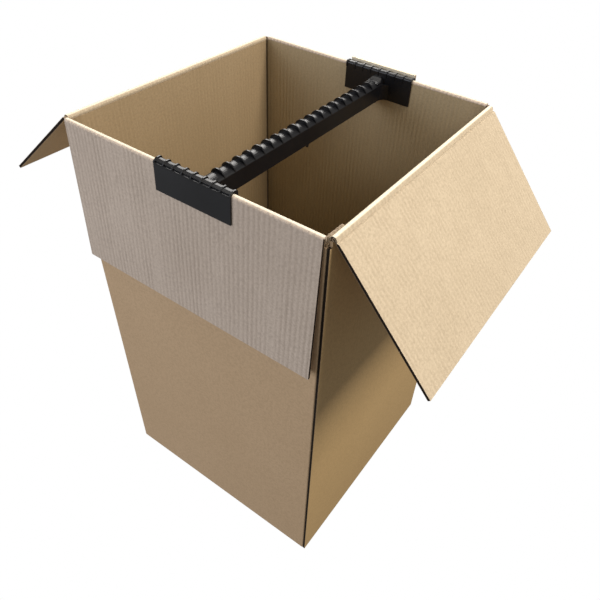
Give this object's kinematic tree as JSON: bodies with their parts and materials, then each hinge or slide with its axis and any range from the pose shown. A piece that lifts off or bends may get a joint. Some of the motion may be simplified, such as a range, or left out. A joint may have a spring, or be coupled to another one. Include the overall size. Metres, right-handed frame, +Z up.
{
  "type": "wardrobe moving box",
  "caption": "Tall corrugated carton with an open top, two hinged side flaps, two folded-down end flaps and a notched plastic hanging rail across the mouth.",
  "frame": {"origin": "centre of the base, on the surface that the box stands on, under the bottom tape", "axes": "+Z up, the rail runs along Y from the front wall (-Y) to the back wall (+Y), and the hinged flaps are on +X (right) and -X (left)"},
  "size_m": [0.8978, 0.555, 0.8864],
  "materials": {
    "board": "matt brown kraft liner",
    "black_plastic": "moulded black plastic with a low sheen",
    "tape": "clear film packing tape over brown board"
  },
  "bodies": {
    "carton": {"carton_body": "board", "hanging_rail": "black_plastic", "bottom_tape": "tape"},
    "right_flap": {"flap_right": "board"},
    "left_flap": {"flap_left": "board"}
  },
  "joints": [
    {"name": "right_flap_fold", "type": "hinge", "parent": "carton", "child": "right_flap", "pos_m": [0.2593, 0, 0.8747], "axis": [0, -1, 0], "range_deg": [-39, 222.5]},
    {"name": "left_flap_fold", "type": "hinge", "parent": "carton", "child": "left_flap", "pos_m": [-0.2593, 0, 0.8747], "axis": [0, 1, 0], "range_deg": [-47.5, 214]}
  ]
}
